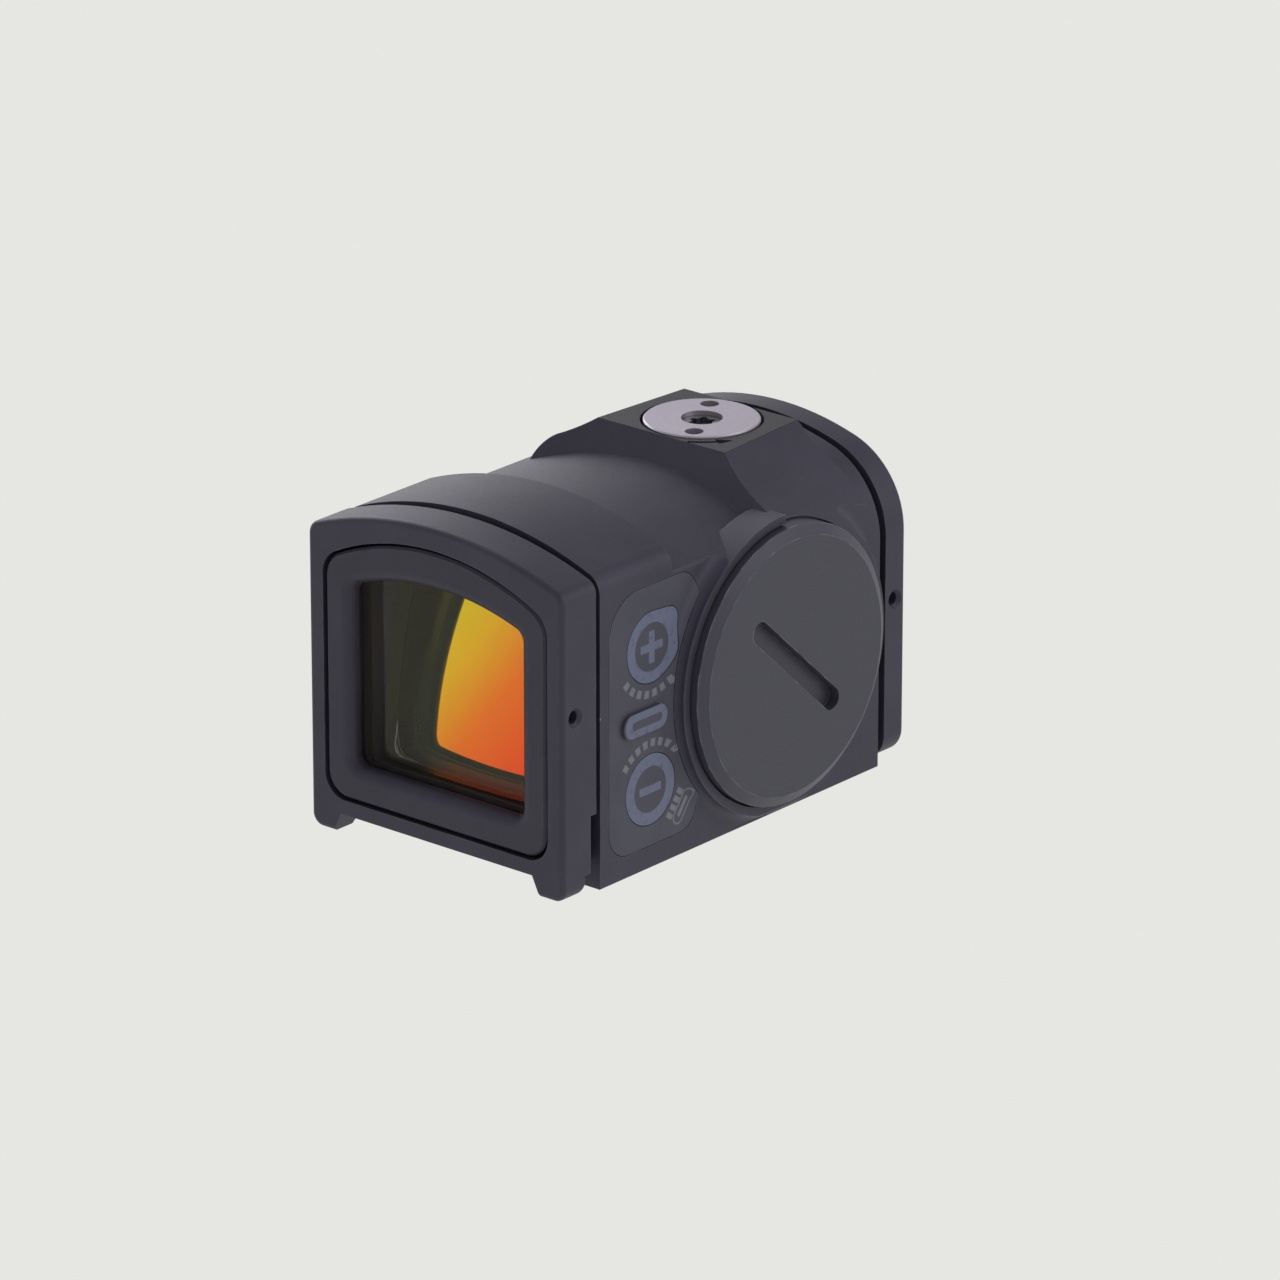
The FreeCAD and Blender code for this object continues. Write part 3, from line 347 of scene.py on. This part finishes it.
def panel_ticks(marks):
    """Generic ticks beside the keys, where the real panel has small print."""
    plus = (PLUS_CENTRE.y, PLUS_CENTRE.z)
    minus = (MINUS_CENTRE.y, MINUS_CENTRE.z)
    marks.add(marks.tick_arc(plus, 4.35 * MM, -148.0, -36.0, 8))
    marks.add(marks.tick_arc(minus, 4.35 * MM, 38.0, 146.0, 8))
    turn = math.radians(54)
    along = Vector((math.cos(turn), math.sin(turn)))
    row = Vector(minus) + Vector((3.35, -2.35)) * MM
    for place in (-1.2, -0.4, 0.4, 1.2):
        tick = row + along * place * MM
        marks.add(marks.bar(tuple(tick), 0.26 * MM, 0.42 * MM, 0.05 * MM, turn))
    pill = Vector(minus) + Vector((4.4, -2.9)) * MM
    marks.add(marks.bar(tuple(pill), 1.75 * MM, 0.68 * MM, 0.66 * MM, turn),
              marks.bar(tuple(pill), 1.6 * MM, 0.53 * MM, 0.5 * MM, turn))
    marks.add(marks.bar(tuple(pill), 1.0 * MM, 0.2 * MM, 0.18 * MM, turn))
    dot = Vector(minus) + Vector((6.2, -0.9)) * MM
    marks.add(marks.bar(tuple(dot), 0.14 * MM, 0.14 * MM, 0.13 * MM))


def moulded(name, base, roughness, grain=0.006, scale=3800.0, prints=()):
    """Moulded rubber or plastic with a fine skin texture, and printed marks given with their colour."""
    nodes = Nodes(name)
    place = nodes.position()
    fine = nodes.noise(place, scale, 3.0, 0.6)
    colour = nodes.mix(nodes.band(nodes.noise(place, 220.0, 2.0), 0.3, 0.7), shade(base, 0.85), base)
    patchy = nodes.band(nodes.noise(place, 1500.0, 3.0, 0.6), 0.15, 0.48)
    for draw, ink in prints:
        marks = Marks(nodes, place)
        draw(marks)
        colour = nodes.mix(nodes.math("MULTIPLY", marks.total(), patchy), colour, ink)
    colour = dusty(nodes, place, colour, 0.6, 0.6)
    shader = nodes.add("ShaderNodeBsdfPrincipled", {
        "Base Color": colour, "Roughness": nodes.math("MULTIPLY_ADD", fine, 0.15, roughness - 0.07),
        "Specular IOR Level": RUBBER_SPECULAR, "Specular Tint": COOL, "Normal": nodes.bump(fine, grain * MM),
    })
    return nodes.finish(shader.outputs[0])


def bare_metal(name, base, roughness):
    """Plain machined or drawn metal with faint tool marks."""
    nodes = Nodes(name)
    place = nodes.position()
    marks = nodes.noise(nodes.vector("MULTIPLY", place, (1.0, 1.0, 6.0)), 900.0, 3.0)
    colour = nodes.mix(nodes.band(marks, 0.3, 0.7), shade(base, 0.75), base)
    shader = nodes.add("ShaderNodeBsdfPrincipled", {
        "Base Color": colour, "Roughness": nodes.math("MULTIPLY_ADD", marks, 0.2, roughness - 0.1),
        "Metallic": 1.0, "Normal": nodes.bump(marks, 0.003 * MM),
    })
    return nodes.finish(shader.outputs[0])


def thin_glass(name, tint, gloss_tint, reflect, reflect_edge):
    """Coated flat window: mostly clear, with a faint tinted reflection that grows at a slant."""
    nodes = Nodes(name)
    place = nodes.position()
    smear = nodes.noise(place, 260.0, 3.0, 0.6)
    gloss = nodes.glossy(gloss_tint, nodes.math("MULTIPLY", nodes.band(smear, 0.45, 0.8), 0.04))
    slant = nodes.add("ShaderNodeLayerWeight", {"Blend": 0.3}).outputs["Fresnel"]
    factor = nodes.math("MULTIPLY_ADD", slant, reflect_edge, reflect, clamp=True)
    return nodes.finish(nodes.blend(factor, nodes.transparent(tint), gloss))


def rearward(nodes):
    """How far the surface's outward normal points to the rear, whichever side it is seen from."""
    geometry = nodes.add("ShaderNodeNewGeometry")
    side = nodes.math("MULTIPLY_ADD", geometry.outputs["Backfacing"], -2.0, 1.0)
    inputs = {0: geometry.outputs["Normal"], "Scale": side}
    scaled = nodes.add("ShaderNodeVectorMath", inputs, operation="SCALE")
    return nodes.split(scaled.outputs["Vector"])[1]


def front_or_back(nodes, front, back):
    """The front shader on a lens's front face, the back shader on its back face."""
    return nodes.blend(nodes.band(rearward(nodes), 0.0, 0.5), front, back)


def ground_rim(nodes, optical):
    """The given shader on the optical faces, and dark ground glass on the sides, with painted highlights and
    a painted warm glow in bands along the axis.
    """
    axes = nodes.split(nodes.position())
    behind = nodes.math("SUBTRACT", axes[1], LENS_LOW.y)
    above = nodes.math("SUBTRACT", axes[2], LENS_LOW.z)
    depth = nodes.math("MULTIPLY_ADD", above, -math.tan(LENS_LEAN), behind)     # along the leaning axis
    painted_rim_lights = nodes.add("ShaderNodeValToRGB", {0: nodes.band(depth, 1.6 * MM, 6.0 * MM, smooth=False)})
    ramp = painted_rim_lights.color_ramp
    ramp.interpolation = "CONSTANT"
    # painted light: the bright bands are painted highlights on the bevels, the warm band is painted light
    # seen through the glass; dark between
    dark = rgb(0.02, 0.022, 0.016)
    bright = rgb(0.8, 0.82, 0.84)
    painted_warm_light = rgb(0.5, 0.27, 0.19)
    ramp.elements[0].color = dark
    ramp.elements[1].position = 0.95
    ramp.elements[1].color = dark
    for place, colour in ((0.10, bright), (0.13, dark), (0.16, bright), (0.19, dark), (0.32, painted_warm_light),
                          (0.47, dark)):
        ramp.elements.new(place).color = colour
    ground = nodes.add("ShaderNodeBsdfPrincipled", {"Base Color": painted_rim_lights.outputs["Color"], "Roughness": 0.4})
    rim = nodes.band(nodes.math("ABSOLUTE", rearward(nodes)), 0.75, 0.65)
    return nodes.finish(nodes.blend(rim, optical, ground.outputs[0]))


def mirror_lens(name, reflect, tint):
    """Lens whose back face is a mirror with a painted reflection tint, yellow at its upper left to red at
    its lower right, and a dark olive band of painted shade at its left edge.
    """
    nodes = Nodes(name)
    place = nodes.position()
    offset = nodes.split(nodes.vector("SUBTRACT", place, tuple(LENS_CENTRE)))
    # painted reflection tint: the mirror's colour runs from yellow at the upper left to red at the lower
    # right, in place of the coating's shift with angle
    slope = nodes.math("SUBTRACT", offset[0], nodes.math("MULTIPLY", offset[2], 0.75))
    along = nodes.band(slope, -10.0 * MM, 12.0 * MM, smooth=False)
    painted_reflection_tints = nodes.add("ShaderNodeValToRGB", {0: along})
    ramp = painted_reflection_tints.color_ramp
    ramp.elements[0].color = rgb(0.85, 0.72, 0.008)
    ramp.elements[1].color = rgb(1.0, 0.05, 0.004)
    for position, colour in ((0.32, rgb(0.93, 0.50, 0.008)), (0.6, rgb(1.0, 0.19, 0.006))):
        ramp.elements.new(position).color = colour
    # painted shade: a dark olive band along the left edge, in place of the reflected bezel opening
    edge = nodes.band(offset[0], -6.6 * MM, -4.8 * MM)
    colour = nodes.mix(edge, rgb(0.165, 0.165, 0.055), painted_reflection_tints.outputs["Color"])
    clear = nodes.transparent(tint)
    coating = nodes.blend(reflect, clear, nodes.glossy(colour, POLISH))
    front = nodes.blend(0.02, clear, nodes.glossy(rgb(0.35, 0.6, 0.3), POLISH))
    return ground_rim(nodes, front_or_back(nodes, front, coating))


def clear_lens(name, tint, gloss_tint):
    """Clear lens with a faint coating on its back; its front is cemented to the mirror."""
    nodes = Nodes(name)
    cement = nodes.transparent(rgb(1, 1, 1))
    back = nodes.blend(0.03, nodes.transparent(tint), nodes.glossy(gloss_tint, POLISH))
    return ground_rim(nodes, front_or_back(nodes, cement, back))


def emissive_floor(name, colour):
    """Paper lit from below, as on a light table, so that it takes no shadow."""
    nodes = Nodes(name)
    return nodes.finish(nodes.add("ShaderNodeEmission", {"Color": colour, "Strength": 1.0}).outputs[0])


def dial_finish(node, axis):
    """Bright turned metal on an adjuster dial that turns about the given axis."""
    return turned(node + "_metal", rgb(0.5, 0.465, 0.505), middle(node), axis, ring_mm=0.10,
                  metallic=0.9, roughness=0.42, scuff=0.4)


def dress_nodes():
    """Give every CAD node its material."""
    dark = rgb(0.035, 0.033, 0.050)
    metal = bare_metal("steel", rgb(0.58, 0.57, 0.58), 0.32)
    spring = bare_metal("spring_steel", rgb(0.42, 0.42, 0.44), 0.28)
    brass = bare_metal("brass", rgb(0.72, 0.52, 0.24), 0.3)
    rubber = moulded("seal_rubber", rgb(0.012, 0.012, 0.013), 0.6)
    rubber_grey = rgb(0.056, 0.055, 0.075)
    ink = rgb(0.11, 0.125, 0.19)
    small_ink = rgb(0.15, 0.15, 0.175)
    board = moulded("circuit_board", rgb(0.02, 0.09, 0.045), 0.4, grain=0.003, scale=1500.0)
    stage = anodised("stage_anodised", rgb(0.03, 0.03, 0.034), grain=0.006, dust_amount=0.0)
    inner = anodised("bezel_anodised", rgb(0.030, 0.028, 0.042), grain=0.008)
    screw_metal = bare_metal("screw_steel", rgb(0.2, 0.2, 0.21), 0.35)
    cap_colour = rgb(0.049, 0.048, 0.064)
    finishes = {
        # the housing's flat top gets painted shade above the platform's height
        "housing": anodised("housing_anodised", dark, shaded_top_z=PLATFORM_Z - 0.03 * MM),
        "front_bezel": inner,
        "rear_bezel": inner,
        "front_window": thin_glass("front_window_glass", rgb(0.99, 0.99, 0.98), rgb(1.0, 0.93, 0.8),
                                   reflect=0.008, reflect_edge=0.02),
        "rear_window": thin_glass("rear_window_glass", rgb(0.95, 0.97, 0.96), rgb(0.5, 0.75, 0.9),
                                  reflect=0.01, reflect_edge=0.2),
        "front_window_seal": rubber,
        "rear_window_seal": rubber,
        "front_lens": mirror_lens("front_lens_coated", reflect=0.95, tint=rgb(0.98, 0.98, 0.96)),
        "rear_lens": clear_lens("rear_lens_glass", rgb(0.85, 0.92, 0.9), rgb(0.7, 0.6, 0.8)),
        "lens_retainer": stage,
        "battery_cap": turned("cap_anodised", cap_colour, middle("battery_cap"), axis=0, ring_mm=0.16,
                              metallic=0.0, roughness=0.46, scuff=0.35),
        "battery_cap_seal": rubber,
        "battery_cell": bare_metal("cell_nickel", rgb(0.66, 0.66, 0.67), 0.3),
        "battery_contact": brass,
        "battery_insulator": moulded("insulator_plastic", rgb(0.03, 0.03, 0.03), 0.5),
        "keypad_panel": moulded("keypad_rubber", rubber_grey, 0.5,
                                prints=((panel_outlines, ink), (panel_ticks, small_ink))),
        "plus_key": moulded("plus_key_rubber", rubber_grey, 0.5, prints=((plus_marks, ink),)),
        "minus_key": moulded("minus_key_rubber", rubber_grey, 0.5, prints=((minus_marks, ink),)),
        "keypad_board": board,
        "key_domes": metal,
        "keypad_flex": moulded("flex_film", rgb(0.45, 0.2, 0.04), 0.35),
        "elevation_dial": dial_finish("elevation_dial", 2),
        "windage_dial": dial_finish("windage_dial", 0),
        "elevation_stage": stage,
        "windage_stage": stage,
        "elevation_nut": brass,
        "windage_plunger": brass,
        "stage_pins": metal,
        "stage_rods": metal,
        "elevation_springs": spring,
        "windage_spring": spring,
        "emitter_board": board,
        "emitter": moulded("emitter_resin", rgb(0.5, 0.05, 0.03), 0.2),
        "main_board": board,
        "board_chips": moulded("chip_package", rgb(0.015, 0.015, 0.016), 0.45),
        "board_screws": metal,
        "tunnel_baffle": moulded("baffle_black", rgb(0.012, 0.012, 0.012), 0.75, grain=0.02, scale=2500.0),
    }
    for side in ("elevation", "windage"):
        finishes[side + "_screw"] = screw_metal
        finishes[side + "_dial_seal"] = rubber
        finishes[side + "_clip"] = spring
        finishes[side + "_detent_ball"] = metal
        finishes[side + "_detent_spring"] = spring
    for name, node in NODES.items():
        for slot in node.material_slots:
            slot.material = finishes[name]


def in_scene(thing):
    bpy.context.scene.collection.objects.link(thing)
    return thing


def shortening_spring(node, body):
    """A copy of the spring, hung from the given body in place of the CAD node."""
    coil = in_scene(bpy.data.objects.new(node + "_coil", NODES[node].data.copy()))
    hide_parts(node)
    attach(coil, body)
    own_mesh(coil)


dress_nodes()
shortening_spring("elevation_springs", "housing")
shortening_spring("windage_spring", "elevation_stage")


# ---- Floor, light and camera ----
FLOOR_HALF = 3.0
FLOOR_GAP = 0.02 * MM       # keeps the floor from sharing a plane with the underside
PAPER = rgb(0.791, 0.799, 0.766)
STUDIO_TINT = rgb(0.97, 0.96, 1.0)
LIGHT_SIZE = 0.5
LIGHT_TARGET = Vector((0, 0, 0.01))
AZIMUTH = math.radians(40.28)
ELEVATION = math.radians(20.62)
DISTANCE = 772.3 * MM
FIELD_OF_VIEW = math.radians(8.476)
AIM = Vector((0, -0.1 * MM, 13.07 * MM))
AIM_RIGHT = 2.652 * MM      # the object stands a little left of and above the picture's centre
AIM_DOWN = 0.62 * MM


def make_floor():
    level = BASE_Z - FLOOR_GAP
    signs = ((-1, -1), (1, -1), (1, 1), (-1, 1))
    corners = [(across * FLOOR_HALF, along * FLOOR_HALF, level) for across, along in signs]
    mesh = bpy.data.meshes.new("floor")
    mesh.from_pydata(corners, [], [(0, 1, 2, 3)])
    mesh.materials.append(emissive_floor("floor_paper", PAPER))
    in_scene(bpy.data.objects.new("floor", mesh))


def make_world():
    """Pale studio surround: as bright as the floor at the horizon, dimmer above."""
    world = bpy.data.worlds.new("studio")
    world.use_nodes = True
    tree = world.node_tree
    background = tree.nodes["Background"]
    background.inputs["Color"].default_value = STUDIO_TINT
    direction = tree.nodes.new("ShaderNodeTexCoord")
    axes = tree.nodes.new("ShaderNodeSeparateXYZ")
    ramp = tree.nodes.new("ShaderNodeMapRange")
    for socket, value in (("From Min", 0.05), ("From Max", 0.4), ("To Min", 0.8), ("To Max", 0.54)):
        ramp.inputs[socket].default_value = value
    tree.links.new(direction.outputs["Generated"], axes.inputs[0])
    tree.links.new(axes.outputs["Z"], ramp.inputs["Value"])
    tree.links.new(ramp.outputs["Result"], background.inputs["Strength"])
    bpy.context.scene.world = world


def softbox(name, place, energy):
    light = bpy.data.lights.new(name, "AREA")
    light.shape = "RECTANGLE"
    light.size = LIGHT_SIZE
    light.size_y = LIGHT_SIZE
    light.energy = energy
    lamp = bpy.data.objects.new(name, light)
    lamp.location = place
    lamp.rotation_euler = (LIGHT_TARGET - Vector(place)).to_track_quat("-Z", "Y").to_euler()
    in_scene(lamp)


def make_camera():
    right = Vector((math.cos(AZIMUTH), math.sin(AZIMUTH), 0))
    back = Vector((
        math.sin(AZIMUTH) * math.cos(ELEVATION),
        -math.cos(AZIMUTH) * math.cos(ELEVATION),
        math.sin(ELEVATION),
    ))
    up = back.cross(right)
    data = bpy.data.cameras.new("camera")
    data.sensor_width = 36.0
    data.sensor_fit = "HORIZONTAL"
    data.angle = FIELD_OF_VIEW
    data.clip_start = 0.01
    camera = in_scene(bpy.data.objects.new("camera", data))
    camera.location = AIM + right * AIM_RIGHT - up * AIM_DOWN + back * DISTANCE
    camera.rotation_euler = (-back).to_track_quat("-Z", "Y").to_euler()
    bpy.context.scene.camera = camera


make_floor()
make_world()
softbox("back_light", (-0.6, 0.25, 0.32), 2.0)
softbox("right_light", (0.5, 0.25, 0.35), 1.3)
make_camera()
bpy.context.scene.view_settings.view_transform = "Standard"
